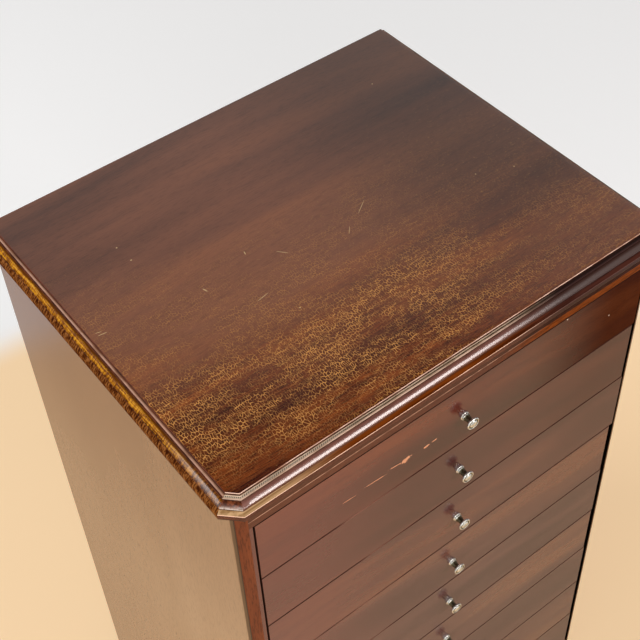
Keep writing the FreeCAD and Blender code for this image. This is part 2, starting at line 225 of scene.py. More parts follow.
# The grain's waver, and its three patterns: how far each is drawn out, its scale and its share in the tone
WAVER, WAVER_SCALE, WAVER_STRETCH = 0.06, 4.0, 0.3
BAND_STRETCH, BAND_SHIFT = 0.10, 0.3
STREAK_STRETCH, STREAK_SCALE, STREAK_SHARE = 0.05, 110.0, 0.24
PORE_STRETCH, PORE_SCALE, PORE_SHARE = 0.11, 760.0, 0.14
PORE_RANGE, PORE_DARKNESS = (0.34, 0.50), 0.36
TONE_SPREAD = 0.15


def mixed(first, second, share):
    """Tones part of the way from one set to another."""
    return tuple(tuple(a + (b - a) * share for a, b in zip(one, two)) for one, two in zip(first, second))


def grain(point, axis, tones, seed=0.0, contrast=1.0, pores=1.0, bands=14.0):
    """The colour and the height of wood: broad bands, streaks, and short open pores along the grain."""
    drift = stretched(point, along_grain(axis, WAVER_STRETCH), (seed, seed, seed))
    drift = centred(noise_at(drift, WAVER_SCALE))
    bent = vector_calc("ADD", point, times(drift, WAVER))
    broad = stretched(bent, along_grain(axis, BAND_STRETCH), (seed, BAND_SHIFT, seed))
    broad = noise_at(broad, bands, detail=3.0)
    lines = stretched(bent, along_grain(axis, STREAK_STRETCH))
    lines = noise_at(lines, STREAK_SCALE, detail=4.0, roughness=0.6)
    fine = stretched(bent, along_grain(axis, PORE_STRETCH))
    fine = noise_at(fine, PORE_SCALE, roughness=0.6)
    broad_share = 1.0 - (STREAK_SHARE + PORE_SHARE) * pores
    share = calc("ADD", times(broad, broad_share), times(lines, STREAK_SHARE * pores))
    share = calc("ADD", share, times(fine, PORE_SHARE * pores))
    colour = toned(share, tones, TONE_SPREAD / contrast)
    pore_tone = between(fine, *PORE_RANGE, to_low=1.0 - PORE_DARKNESS * contrast * pores)
    return darken(colour, pore_tone), fine


def coat(shader, roughness, weight=1.0, density=1.5):
    """French polish: a clear coat over the wood, whose only gloss it is."""
    plug(shader, {"Specular IOR Level": 0.0, "Coat Weight": weight, "Coat Roughness": roughness,
                  "Coat IOR": density})


BARE_ROUGHNESS = 0.5
WAVE_SCALE, WAVE_STRENGTH, DENT_STRENGTH = 30.0, 0.25, 0.6
# How deep the dents and the waves of a smooth finish are
SMOOTH = (0.02 * MM, 0.2 * MM)


def finish_wood(shader, colour, height, dent=0.05 * MM, wave=0.5 * MM):
    """Colour and relief of wood. The coat over it follows the broad waves alone."""
    waviness = bump(noise_at(object_point(), WAVE_SCALE), wave, WAVE_STRENGTH)
    relief = bump(height, dent, DENT_STRENGTH, waviness)
    plug(shader, {"Base Color": colour, "Roughness": BARE_ROUGHNESS, "Normal": relief,
                  "Coat Normal": waviness})


FLAT = (0.90, 0.98)


def facing(axis):
    """How squarely the surface faces along an axis, either way."""
    return calc("ABSOLUTE", parts(add("TexCoord").outputs["Normal"])[axis])


def flat_face_mask(axis):
    """1 on the faces square to an axis, 0 on the others and on rounded edges."""
    return between(facing(axis), *FLAT)


# Edge colours: painted shade beside the gaps, pale rubbed wear, and deeper painted shade at the gap itself
SHADED_EDGE = (0.050, 0.018, 0.012)
RUBBED_EDGE = (0.260, 0.120, 0.080)
GAP_SHADE_EDGE = (0.030, 0.011, 0.007)
GAP_SHADE = (0.004, 0.003, 0.002)
PINK = (0.165, 0.042, 0.036)
# The painted shade in the gap left of the drawers: where the gap is along X, and how far the shade reaches
# from it
GAP_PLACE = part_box("drawer_1_front")[0].x - 0.5 * MM
GAP_SHADE_REACH = (1.3 * MM, 0.9 * MM)
# How far down from its top edge the top drawer is painted dark, as shade under the rail
RAIL_SHADE_DEPTH = (0.5 * MM, 0.9 * MM)
# Where the fronts turn pink, where they turn dark red, painted shade for a dimmer reflection there,
# and where their edges are rubbed, along X
PINK_LEFT, PINK_SHARE = (-0.05, -0.20), 0.5
RED_RIGHT = (0.02, 0.21)
RUBBED_LEFT = (-0.02, -0.14)
RUBBED_PATCHES = (0.46, 0.60)
# How much of the polish the dark red end loses
LOST_POLISH = 0.95
FRONT_POLISH = 1.65
# The grain of the drawers falls a little to the right
GRAIN_TILT = -6.0
FRONT_GRAIN = {"contrast": 0.9, "pores": 0.5, "bands": 25.0}


def polished_wood(name, axis, tones, seed=0.0, red_end=0.0, shaded_top=None):
    """Wood polished on its front face, with bare edges in painted shade, rubbed pale in places at the left.

    With a red end, it turns dark red, painted shade for a dimmer reflection, and loses its polish to the
    right.
    A shaded top is a height: from it, painted shade under the rail reaches down."""
    made, shader, point = new_material(name)
    along, _, low = parts(point)
    tilted = turned(point, GRAIN_TILT, BACK)
    colour, height = grain(tilted, axis, tones, seed, **FRONT_GRAIN)
    colour = blend(between(along, *PINK_LEFT, to_high=PINK_SHARE), colour, PINK)
    # Towards the right the wood turns dark red: painted shade for a dimmer reflection there
    end = times(between(along, *RED_RIGHT), red_end)
    deep, _ = grain(tilted, axis, SHADED_RED_TONES, seed, **FRONT_GRAIN)
    colour = blend(end, colour, deep)
    coat(shader, roughness=0.20, density=FRONT_POLISH)
    on_face = flat_face_mask(ALONG_Y)
    places = stretched(point, along_grain(axis, 0.3), (seed, 0.0, seed))
    places = between(noise_at(places, 30.0), *RUBBED_PATCHES)
    rubbed = times(places, between(along, *RUBBED_LEFT))
    # Painted shade along the gap left of the drawers, and under the rail below a shaded top
    off_gap = calc("ABSOLUTE", calc("SUBTRACT", along, GAP_PLACE))
    shade_mask = between(off_gap, *GAP_SHADE_REACH)
    if shaded_top:
        off_top = calc("SUBTRACT", shaded_top, low)
        shade_mask = calc("MAXIMUM", shade_mask, falling(off_top, *RAIL_SHADE_DEPTH))
    # Off the front face the edges are painted dark as shade, rubbed pale in places
    edge = blend(shade_mask, blend(rubbed, SHADED_EDGE, RUBBED_EDGE), GAP_SHADE_EDGE)
    colour = blend(on_face, edge, blend(shade_mask, colour, GAP_SHADE))
    finish_wood(shader, colour, height)
    dull = calc("MAXIMUM", shade_mask, times(times(end, end), LOST_POLISH))
    polish = times(on_face, calc("SUBTRACT", 1.0, dull))
    plug(shader, {"Coat Weight": polish})
    return made


RAGGED_SCALE = 480.0
MARK_EDGE = (0.7, 1.0)


def mark_mask(point, centre, length, width, turn, axis, ragged=0.0):
    """A soft long mark at centre, turned about the axis, with a more or less ragged outline."""
    moved = turned(vector_calc("SUBTRACT", point, centre), turn, axis)
    far = length_of(vector_calc("MULTIPLY", moved, (1 / length, 1 / width, 1 / width)))
    if ragged:
        rough = centred(noise_at(point, RAGGED_SCALE, detail=3.0))
        far = calc("ADD", far, times(rough, ragged))
    return falling(far, *MARK_EDGE)


# Marks on the top: place along X and Y, half its length and width, and turn
TOP_MARKS = (
    (-0.135, 0.003, 0.0034, 0.0007, 75),
    (-0.079, 0.019, 0.0026, 0.0006, 105),
    (-0.099, -0.038, 0.0080, 0.0004, -10),
    (-0.051, -0.003, 0.0070, 0.0004, 50),
    (-0.081, -0.070, 0.0010, 0.0009, 0),
    (-0.236, 0.017, 0.0052, 0.0005, 8),
    (-0.238, 0.021, 0.0034, 0.0004, 14),
    (-0.167, 0.080, 0.0012, 0.0009, 0),
    (-0.169, 0.103, 0.0010, 0.0009, 0),
    (0.016, -0.020, 0.0060, 0.0003, -50),
    (0.045, -0.002, 0.0120, 0.0003, -35),
    (0.176, 0.141, 0.0008, 0.0007, 0),
    (0.162, -0.038, 0.0008, 0.0007, 0),
    (0.199, -0.054, 0.0008, 0.0007, 0),
)
MARK_COLOUR, MARK_SHARE = (0.62, 0.42, 0.20), 0.80
# Chips in the polish of the top drawer: place along X and Z, half its length and width, and turn
FRONT_CHIPS = (
    (-0.0635, 0.7690, 0.0062, 0.0036, 12),
    (-0.0390, 0.7680, 0.0042, 0.0017, 4),
    (-0.0290, 0.7690, 0.0042, 0.0009, 4),
    (-0.0760, 0.7700, 0.0080, 0.0008, -8),
    (-0.1000, 0.7680, 0.0150, 0.0006, -4),
    (-0.1310, 0.7670, 0.0080, 0.0005, -4),
)
CHIP_COLOUR, CHIP_RAGGED = (0.66, 0.27, 0.14), 1.6
# Pale specks on the top drawer, by place along X and Z
FRONT_SPECKS = ((0.136, 0.8186), (0.199, 0.7800))
SPECK_COLOUR, SPECK_RADIUS = (0.66, 0.50, 0.38), 1.0 * MM

# The net of cracks: how it is bent, the scale, stretch and line width of its coarse and its fine cells, how
# irregular they are, how sharp the lines are, where the fine cells lie, and where the lines are broken
CRACK_BEND_SCALE, CRACK_BEND = 90.0, 4.0 * MM
CRACK_CELLS = ((390.0, 0.58, 0.115), (480.0, 0.42, 0.13))
CRACK_DISORDER = 0.78
CRACK_CORE = 0.45
FINE_CELLS = (0.44, 0.56)
CRACK_BREAKS, BROKEN_SHARE = (0.34, 0.58), 0.14


def crack_net(point):
    """Thin broken lines round small cells, most of them across the grain."""
    inputs = {"Vector": point, "Scale": CRACK_BEND_SCALE, "Detail": 2.0}
    jitter = add("TexNoise", inputs).outputs["Color"]
    shift = add("VectorMath", {0: jitter, "Scale": CRACK_BEND}, operation="SCALE").outputs[0]
    bent = vector_calc("ADD", point, shift)
    nets = []
    for scale, stretch, width in CRACK_CELLS:
        flat_point = stretched(bent, (1.0, stretch, 0.0))
        inputs = {"Vector": flat_point, "Scale": scale, "Randomness": CRACK_DISORDER}
        cells = add("TexVoronoi", inputs, feature="DISTANCE_TO_EDGE", voronoi_dimensions="2D")
        lines = falling(cells.outputs["Distance"], CRACK_CORE * width, width)
        nets.append(grey(lines))
    fine_parts = between(noise_at(point, 50.0, detail=1.0), *FINE_CELLS)
    net = blend(fine_parts, *nets)
    broken = between(noise_at(point, 200.0, roughness=0.6), *CRACK_BREAKS, to_low=BROKEN_SHARE)
    return times(add("SeparateColor", {0: net}).outputs[0], broken)


# The band of cracks, by place along Y: its front edge, where it is strong and where it is faint behind that,
# how far it wanders, and by how much it lies further back at the left. Last, where it thins out at the right
BAND_EDGE, EDGE_SHARE = (-0.228, -0.188), 0.12
BAND_STRONG = (-0.115, -0.065)
BAND_FAINT, FAINT_SHARE = (-0.080, 0.090), 0.38
BAND_WANDER = 0.13
BAND_LEFT, LEFT_MOVE = (-0.12, -0.24), 0.050
BAND_PATCHES, PATCH_SHARE = (0.32, 0.60), 0.10
BAND_RIGHT, RIGHT_SHARE = (-0.04, 0.16), 0.26


def craze_band(point):
    """Where the net shows: strong in a band along the front, faint behind it and to the left."""
    along, across, _ = parts(point)
    drift = noise_at(stretched(point, (0.4, 1.0, 1.0)), 9.0, detail=3.0)
    place = calc("ADD", across, times(centred(drift), BAND_WANDER))
    place = calc("SUBTRACT", place, between(along, *BAND_LEFT, to_high=LEFT_MOVE))
    near_edge = between(place, *BAND_EDGE, to_low=EDGE_SHARE)
    strong = falling(place, *BAND_STRONG)
    faint = between(place, *BAND_FAINT, FAINT_SHARE, 0.0)
    patches = noise_at(stretched(point, (0.35, 1.0, 1.0)), 46.0, detail=3.0, roughness=0.6)
    patches = between(patches, *BAND_PATCHES, to_low=PATCH_SHARE)
    right_end = between(along, *BAND_RIGHT, 1.0, RIGHT_SHARE)
    band = times(near_edge, calc("MAXIMUM", strong, faint))
    return times(band, times(patches, right_end)), place


# The top is dull at the far right, and fiery along the front, less so at the right
FAR_RIGHT, FAR_BACK = (-0.04, 0.18), (-0.24, -0.06)
FIERY_PLACE, FIERY_RIGHT, FIERY_RIGHT_SHARE = (-0.03, -0.165), (-0.04, 0.18), 0.30
GLAZE, GLAZE_SHARE = (0.115, 0.026, 0.006), 0.35
CRACK_GOLD = (0.700, 0.325, 0.080)
DUST, DUST_SPECKS = (0.36, 0.19, 0.06), (0.64, 0.74)
DUST_PLACE, DUST_SHARES = (-0.05, 0.16), (0.35, 0.06)


def crazed_top():
    """The top's polish: a golden net of fine cracks in a band along the front, and a few bare marks."""
    made, shader, point = new_material("crazed_mahogany")
    along, across, _ = parts(point)
    colour, height = grain(point, ALONG_X, TOP_TONES, seed=2.0, contrast=0.9, pores=0.5)
    dull, _ = grain(point, ALONG_X, DULL_TONES, seed=2.0, contrast=0.9, pores=0.5)
    fiery, _ = grain(point, ALONG_X, FIERY_TONES, seed=4.6, contrast=1.7, pores=0.9)
    far_right = times(between(along, *FAR_RIGHT), between(across, *FAR_BACK))
    colour = blend(far_right, colour, dull)
    band, place = craze_band(point)
    heat = between(along, *FIERY_RIGHT, 1.0, FIERY_RIGHT_SHARE)
    heat = times(between(place, *FIERY_PLACE), heat)
    colour = blend(heat, colour, fiery)
    colour = blend(times(band, GLAZE_SHARE), colour, GLAZE)
    cracks = times(crack_net(point), band)
    colour = blend(cracks, colour, CRACK_GOLD)
    specks = between(noise_at(stretched(point, (0.6, 1.0, 1.0)), 620.0), *DUST_SPECKS)
    dust = times(specks, between(place, *DUST_PLACE, *DUST_SHARES))
    colour = blend(dust, colour, DUST)
    for x, y, length, width, turn in TOP_MARKS:
        mask = mark_mask(point, (x, y, TOP_HEIGHT), length, width, turn, UP)
        colour = blend(times(mask, MARK_SHARE), colour, MARK_COLOUR)
    coat(shader, roughness=0.17)
    finish_wood(shader, colour, height)
    return made


def chipped_front(tones):
    """The top drawer's front, with bare chips left of the knob and two specks right of it."""
    lo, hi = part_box("drawer_1_front")
    made = polished_wood("front_1_mahogany", ALONG_X, tones, FRONT_SEED, red_end=1.0, shaded_top=hi.z)
    # Nodes still go into the tree that polished_wood made
    shader = tree.nodes["Principled BSDF"]
    point = object_point()
    colour = shader.inputs["Base Color"].links[0].from_socket
    for x, z, length, width, turn in FRONT_CHIPS:
        mask = mark_mask(point, (x, lo.y, z), length, width, turn, BACK, CHIP_RAGGED)
        colour = blend(mask, colour, CHIP_COLOUR)
    for x, z in FRONT_SPECKS:
        mask = mark_mask(point, (x, lo.y, z), SPECK_RADIUS, SPECK_RADIUS, 0, BACK)
        colour = blend(mask, colour, SPECK_COLOUR)
    plug(shader, {"Base Color": colour})
    return made


# How the sides turn paler, downwards and towards the front: a painted reflection of the pale floor
FLOOR_SHEEN_DOWN, DOWN_SHARE = (0.86, 0.42), 0.80
FLOOR_SHEEN_FORWARD, FORWARD_SHARE = (0.12, -0.20), 0.45
# The left side's rounded corner, painted dark for a dim reflection: its edges and its middle, and how
# squarely the middle's ends face the front
CORNER_SHADE_EDGE, CORNER_SHADE_MIDDLE = (0.022, 0.009, 0.005), (0.110, 0.055, 0.024)
MIDDLE_START, MIDDLE_END = (0.30, 0.42), (0.90, 0.80)
# Where the painted black shade of the gap right of the drawers ends along X, how deep it is,
# and the height at which it starts
RIGHT_GAP_END, GAP_BLUR = 245.5 * MM, 0.2 * MM
RIGHT_GAP_DEPTH = (-188 * MM, -186 * MM)
RIGHT_GAP_FOOT = (59.5 * MM, 60.5 * MM)
OLIVE_STRIP = (0.190, 0.100, 0.045)
# From the left side to the right one, along X
RIGHT_SIDE = (0.0, 0.1)
STILE_POLISH = 0.4


def side_wood():
    """The sides: broad faces that turn paler downwards, a painted reflection of the floor, a red front edge,
    and a dull, dark rounded corner between, painted shade for a dim reflection.
    """
    made, shader, point = new_material("side_mahogany")
    along, across, low = parts(point)
    face, height = grain(point, ALONG_Z, SIDE_TONES, seed=1.0, contrast=0.5)
    pale, _ = grain(point, ALONG_Z, SHEENED_SIDE_TONES, seed=1.0, contrast=0.5)
    # Paler downwards and towards the front: a painted reflection of the pale floor
    floor_sheen = between(low, *FLOOR_SHEEN_DOWN, to_high=DOWN_SHARE)
    floor_sheen = calc("ADD", floor_sheen, between(across, *FLOOR_SHEEN_FORWARD, to_high=FORWARD_SHARE))
    face = blend(calc("MINIMUM", floor_sheen, 1.0), face, pale)
    stile, _ = grain(point, ALONG_Z, STILE_TONES, seed=1.5)
    on_side, on_front = flat_face_mask(ALONG_X), flat_face_mask(ALONG_Y)
    to_front = facing(ALONG_Y)
    # The rounded corner is painted dark, standing for a dim reflection
    middle = times(between(to_front, *MIDDLE_START), between(to_front, *MIDDLE_END))
    corner = blend(middle, CORNER_SHADE_EDGE, CORNER_SHADE_MIDDLE)
    # On the right side's front edge, the gap beside the drawers is painted black as its shade, up to an
    # olive brown strip
    at_right = between(along, *RIGHT_SIDE)
    corner = blend(at_right, corner, OLIVE_STRIP)
    colour = blend(on_side, corner, face)
    past_gap = calc("SUBTRACT", along, RIGHT_GAP_END)
    gap_shade_mask = times(at_right, falling(past_gap, -GAP_BLUR, GAP_BLUR))
    gap_shade_mask = times(gap_shade_mask, falling(across, *RIGHT_GAP_DEPTH))
    gap_shade_mask = times(gap_shade_mask, between(low, *RIGHT_GAP_FOOT))
    stile = blend(at_right, stile, OLIVE_STRIP)
    colour = blend(on_front, colour, stile)
    # The gap right of the drawers is painted black as shade
    colour = blend(gap_shade_mask, colour, GAP_SHADE)
    coat(shader, roughness=0.22)
    finish_wood(shader, colour, height, *SMOOTH)
    polish = between(on_front, 0.0, 1.0, 1.0, STILE_POLISH)
    polish = times(polish, calc("SUBTRACT", 1.0, gap_shade_mask))
    plug(shader, {"Coat Weight": polish})
    return made


DARK_RIGHT = (0.02, 0.12)
# The ribs across the step: their spacing, how much they waver, and where they show near the left corner
RIB_SPACING, RIB_WAVER = 2.1 * MM, 0.5 * MM
RIB_SHAPE = (-0.7, 0.5)
RIBS_ALONG, RIBS_ACROSS = (-0.10, -0.17), (-0.12, -0.19)
RIB_DARK, RIB_PALE = (0.110, 0.070, 0.045), (0.66, 0.54, 0.40)


def darker_right(point, colour, dark):
    """The colour, going over to a dark one towards the right end."""
    return blend(between(parts(point)[ALONG_X], *DARK_RIGHT), colour, dark)


def tread_wood():
    """The narrow step along the front: worn, with fine ribs across it near the front left corner."""
    made, shader, point = new_material("worn_tread")
    along, across, _ = parts(point)
    waver = times(noise_at(point, 400.0), RIB_WAVER)
    place = calc("ADD", calc("SUBTRACT", along, across), waver)
    ribs = calc("SINE", times(place, 2 * math.pi / RIB_SPACING))
    worn_away = noise_at(stretched(point, (0.3, 1.0, 1.0)), 300.0)
    plain = ramp(worn_away, [(0.40, (0.090, 0.052, 0.024)), (0.62, (0.240, 0.165, 0.095))])
    ribbed = blend(between(ribs, *RIB_SHAPE), RIB_DARK, RIB_PALE)
    near_corner = times(between(along, *RIBS_ALONG), between(across, *RIBS_ACROSS))
    colour = darker_right(point, blend(near_corner, plain, ribbed), (0.020, 0.008, 0.006))
    coat(shader, roughness=0.25, weight=0.3)
    finish_wood(shader, colour, worn_away)
    return made


def arris_wear_and_light(name, bare, kept, dark=None):
    """A thin arris, paler in some places than in others: rubbed wear, and on the bright arrises a painted
    highlight as well.
    """
    made, shader, point = new_material(name)
    places = noise_at(point, 55.0, detail=3.0)
    colour = ramp(places, [(0.34, kept), (0.54, bare)])
    if dark:
        colour = darker_right(point, colour, dark)
    plug(shader, {"Base Color": colour})
    coat(shader, roughness=0.3, weight=0.3)
    return made


# Where the cant's round turns to a pale painted highlight, and by how much the border wavers
CANT_BORDER = (TOP_HEIGHT - 5.0 * MM, TOP_HEIGHT - 7.0 * MM)
CANT_WAVER = 4.0 * MM


def cant_round():
    """The round across the cut corner: red brown above, greyish white below, a painted highlight."""
    made, shader, point = new_material("cant_mahogany")
    low = parts(point)[ALONG_Z]
    spots = noise_at(point, 420.0, detail=3.0)
    brown = ramp(spots, [(0.38, (0.050, 0.012, 0.005)), (0.62, (0.20, 0.055, 0.020))])
    # The greyish white is a painted highlight
    white = ramp(spots, [(0.38, (0.24, 0.13, 0.09)), (0.58, (0.66, 0.54, 0.46))])
    wavering = calc("ADD", low, times(spots, CANT_WAVER))
    colour = blend(between(wavering, *CANT_BORDER), brown, white)
    coat(shader, roughness=0.15)
    finish_wood(shader, colour, spots, *SMOOTH)
    return made


def painted_corner_shade(name, dark, light):
    """Dark colour in the corners of the moulding and under its lip: painted shade."""
    made, shader, point = new_material(name)
    spots = noise_at(stretched(point, (0.3, 0.3, 1.0)), 300.0)
    colour = ramp(spots, [(0.40, dark), (0.62, light)])
    colour = darker_right(point, colour, (0.020, 0.004, 0.002))
    plug(shader, {"Base Color": colour, "Roughness": 0.7, "Specular IOR Level": 0.15})
    return made


# Where the front round turns orange at its foot
OVOLO_FOOT = (TOP_HEIGHT - 8.2 * MM, TOP_HEIGHT - 9.0 * MM)


def ovolo_wood():
    """The round of the front moulding, smooth and deep in colour; its purple brown is partly a painted
    reflection of the room.
    """
    made, shader, point = new_material("ovolo_mahogany")
    colour, height = grain(point, ALONG_X, OVOLO_TONES, seed=6.0, contrast=0.9, pores=0.6)
    at_foot = between(parts(point)[ALONG_Z], *OVOLO_FOOT)
    colour = blend(at_foot, colour, (0.120, 0.030, 0.006))
    colour = darker_right(point, colour, (0.048, 0.019, 0.013))
    coat(shader, roughness=0.17)
    finish_wood(shader, colour, height, *SMOOTH)
    return made


# The side mouldings: heights at which the brown neck, painted shade under the step, starts over the gold,
# and the brown foot under it
GOLD_NECK_SHADE = (TOP_HEIGHT - 5.8 * MM, TOP_HEIGHT - 5.0 * MM)
GOLD_FOOT = (TOP_HEIGHT - 7.8 * MM, TOP_HEIGHT - 9.2 * MM)
GOLD_WAVER = 2.0 * MM
NEAR_CORNER, NEAR_CORNER_SHARE = (-0.09, -0.19), 0.85
# The polish away from the corner, the share of the short ribs in the pattern, and the tones' spread
GOLD_POLISH, GOLD_RIBS, END_SPREAD = 0.08, 0.45, 0.08
GOLD_TONES = ((0.130, 0.032, 0.001), (0.330, 0.115, 0.003), (0.620, 0.280, 0.014))
BROWN_TONES = ((0.036, 0.007, 0.001), (0.120, 0.032, 0.002), (0.300, 0.105, 0.010))
LIP_TONES = ((0.040, 0.008, 0.002), (0.130, 0.035, 0.006), (0.270, 0.100, 0.026))


def golden_end_grain():
    """The round of the side mouldings: faded end grain, golden with brown ribs, polished near the corner."""
    made, shader, point = new_material("golden_end_grain")
    _, across, low = parts(point)
    ribs = noise_at(stretched(point, (0.3, 1.0, 0.3)), 420.0, detail=3.0, roughness=0.65)
    streaks = noise_at(stretched(point, (2.2, 0.16, 2.2)), 300.0, detail=3.0)
    wavering = calc("ADD", low, times(centred(ribs), GOLD_WAVER))
    neck_shade = between(wavering, *GOLD_NECK_SHADE)
    foot = between(wavering, *GOLD_FOOT)
    share = calc("ADD", times(ribs, GOLD_RIBS), times(streaks, 1.0 - GOLD_RIBS))
    brown = toned(ribs, BROWN_TONES, END_SPREAD)
    colour = blend(foot, toned(share, GOLD_TONES, END_SPREAD), brown)
    # The brown neck under the step is painted shade
    colour = blend(neck_shade, colour, (0.120, 0.032, 0.002))
    near_corner = between(across, *NEAR_CORNER)
    colour = blend(times(near_corner, NEAR_CORNER_SHARE), colour, brown)
    coat(shader, roughness=0.20)
    finish_wood(shader, colour, ribs, 0.03 * MM, 0.2 * MM)
    polish = between(near_corner, 0.0, 1.0, to_low=GOLD_POLISH)
    plug(shader, {"Coat Weight": polish})
    return made


def lip_end_grain():
    """Under the gold, the lip's dark end grain with short ribs."""
    made, shader, point = new_material("lip_end_grain")
    ribs = noise_at(stretched(point, (0.4, 1.0, 0.12)), 520.0, detail=3.0, roughness=0.65)
    coat(shader, roughness=0.30, weight=0.0)
    finish_wood(shader, toned(ribs, LIP_TONES, END_SPREAD), ribs)
    return made


# Where the slope turns from bleached to deep brown, and from that to dark, along X
SLOPE_DEEP, SLOPE_DARK = (-0.235, -0.130), (0.00, 0.12)


def weathered_slope():
    """The slope under the front round: bleached at the left corner, orange brown, then dark to the right."""
    made, shader, point = new_material("worn_slope")
    along = parts(point)[ALONG_X]
    streaks = noise_at(stretched(point, (0.05, 1.0, 1.0)), 260.0, detail=3.0)
    pale = ramp(streaks, [(0.40, (0.26, 0.14, 0.055)), (0.60, (0.52, 0.32, 0.16))])
    deep = ramp(streaks, [(0.40, (0.075, 0.013, 0.001)), (0.60, (0.160, 0.034, 0.004))])
    dark = ramp(streaks, [(0.40, (0.018, 0.005, 0.003)), (0.60, (0.060, 0.018, 0.012))])
    colour = blend(between(along, *SLOPE_DEEP), pale, deep)
    colour = blend(between(along, *SLOPE_DARK), colour, dark)
    coat(shader, roughness=0.30, weight=0.0)
    finish_wood(shader, colour, streaks)
    return made


def long_wood(name, tones, seed, weight, dark=None, **look):
    """Polished wood with its grain along the front."""
    made, shader, point = new_material(name)
    colour, height = grain(point, ALONG_X, tones, seed, **look)
    if dark:
        colour = darker_right(point, colour, dark)
    coat(shader, roughness=0.20, weight=weight)
    finish_wood(shader, colour, height)
    return made


# The pale line along the rail, a painted highlight of the lip's lower edge: its height, half its width,
# and the share left where it breaks off
RAIL_LINE, LINE_BLUR = 0.8302, 0.2 * MM
LINE_WIDTH, LINE_CORE = 0.5 * MM, 0.4
LINE_HIGHLIGHT = (0.620, 0.330, 0.220)
LINE_BREAKS, LINE_LEFT = (0.40, 0.56), 0.35
# The rail is darker over the line, painted shade under the lip, and its right end is orange under it, with
# streaks
UNDER_LIP_SHADE = 0.72
RAIL_ORANGE, RAIL_DARK = (0.165, 0.034, 0.004), (0.035, 0.010, 0.006)
END_STREAKS, END_SHADES = (0.38, 0.60), (0.60, 1.15)
RAIL_POLISH = (0.6, 0.15)


def rail_wood():
    """The rail over the drawers, orange towards the right, with a painted highlight line along it and
    painted shade over that.
    """
    made, shader, point = new_material("rail_mahogany")
    along, _, low = parts(point)
    colour, height = grain(point, ALONG_X, RAIL_TONES, seed=3.0, contrast=0.9, pores=0.7)
    # Over the line, under the lip, the rail is painted darker as shade
    above = between(low, RAIL_LINE - LINE_BLUR, RAIL_LINE + LINE_BLUR)
    colour = darken(colour, between(above, 0.0, 1.0, 1.0, UNDER_LIP_SHADE))
    # The pale line is a painted highlight of the lip's lower edge
    off_line = calc("ABSOLUTE", calc("SUBTRACT", low, RAIL_LINE))
    worn_away = between(noise_at(point, 70.0), *LINE_BREAKS, to_low=LINE_LEFT)
    line = times(between(off_line, LINE_WIDTH, LINE_CORE * LINE_WIDTH), worn_away)
    colour = blend(line, colour, LINE_HIGHLIGHT)
    right_end = blend(above, RAIL_ORANGE, RAIL_DARK)
    right_end = darken(right_end, between(height, *END_STREAKS, *END_SHADES))
    colour = blend(between(along, *DARK_RIGHT), colour, right_end)
    on_face = flat_face_mask(ALONG_Y)
    coat(shader, roughness=0.14)
    # Off the front face the rail's edges are painted dark as shade
    finish_wood(shader, blend(on_face, SHADED_EDGE, colour), height)
    plug(shader, {"Coat Weight": between(along, *DARK_RIGHT, *RAIL_POLISH)})
    return made


def plain_wood(name, axis, tones, roughness=0.6):
    """Unpolished or waxed secondary wood."""
    made, shader, point = new_material(name)
    colour, height = grain(point, axis, tones, seed=9.0, contrast=0.7)
    relief = bump(height, distance=0.1 * MM, strength=0.5)
    plug(shader, {"Base Color": colour, "Roughness": roughness, "Normal": relief})
    return made


def knob_metal(name, stained, clean, smooth):
    """Old nickel plate, tarnished in patches, which are twice as rough."""
    made, shader, point = new_material(name)
    stain = noise_at(point, 420.0, detail=4.0, roughness=0.6)
    colour = ramp(stain, [(0.34, stained), (0.54, clean)])
    roughness = between(stain, 0.35, 0.65, 2 * smooth, smooth)
    pits = bump(noise_at(point, 900.0, detail=3.0), distance=0.02 * MM, strength=0.4)
    plug(shader, {"Base Color": colour, "Metallic": 1.0, "Roughness": roughness, "Normal": pits})
    return made


# Meshes

def new_piece(name, vertices, faces, materials, face_slots=None, sharp=35.0):
    """An object with smooth faces, and hard edges where it turns by more than the sharp angle."""
    mesh = bpy.data.meshes.new(name)
    mesh.from_pydata(vertices, [], faces)
    for material in materials:
        mesh.materials.append(material)
    mesh.polygons.foreach_set("use_smooth", [True] * len(faces))
    if face_slots:
        mesh.polygons.foreach_set("material_index", face_slots)
    mesh.update()
    mesh.set_sharp_from_angle(angle=math.radians(sharp))
    made = bpy.data.objects.new(name, mesh)
    scene.collection.objects.link(made)
    return made


def arc(centre, radius, start, end, steps):
    """Points on a profile's arc, by the angle of its normal in degrees from straight up to straight out."""
    turns = [math.radians(start + (end - start) * step / steps) for step in range(steps + 1)]
    return [(centre[0] + radius * math.sin(turn), centre[1] - radius * math.cos(turn)) for turn in turns]


def arc_on(last, radius, start, end, steps):
    """An arc that goes on from the last point."""
    turn = math.radians(start)
    centre = (last[0] - radius * math.sin(turn), last[1] + radius * math.cos(turn))
    return arc(centre, radius, start, end, steps)[1:]


# The moulding in millimetres: how far out from the top's arris, and how far down
ARRIS_WEAR, ARRIS_DROP = 0.45, 0.65
TREAD_WIDTH, TREAD_DROP = 3.8, 2.8
INNER_FILLET, INNER_WIDTH = 0.2, 1.1
OUTER_WIDTH, OUTER_WEAR, OUTER_DROP = 1.2, 0.45, 0.9
QUIRK_DROP = 2.2
# The arcs of the round, from the top: radius, first and last angle, and steps
ROUND_ARCS = ((5.0, 6, 42, 7), (30.0, 42, 48.5, 6), (1.6, 48.5, 90, 6))
STEP_OUT, STEP_DROP = 0.1, 0.9
LIP_REACH, LIP_DROP = 12.5, 14.0
LIP_WEAR, LIP_SLOPE, RIM_DROP, FOOT_RISE = 0.5, 35, 0.7, 1.4
BOARD = 20.5
# How far in from the arris the flat face and the underside start
INSET = 6.0
BANDS = 12
(FACE_BAND, ARRIS_BAND, DARK_BAND, INNER_BAND, TREAD_BAND, OUTER_BAND, ROUND_BAND, SLOPE_BAND, RIM_BAND,
 LIP_BAND, FOOT_BAND, UNDER_BAND) = range(BANDS)


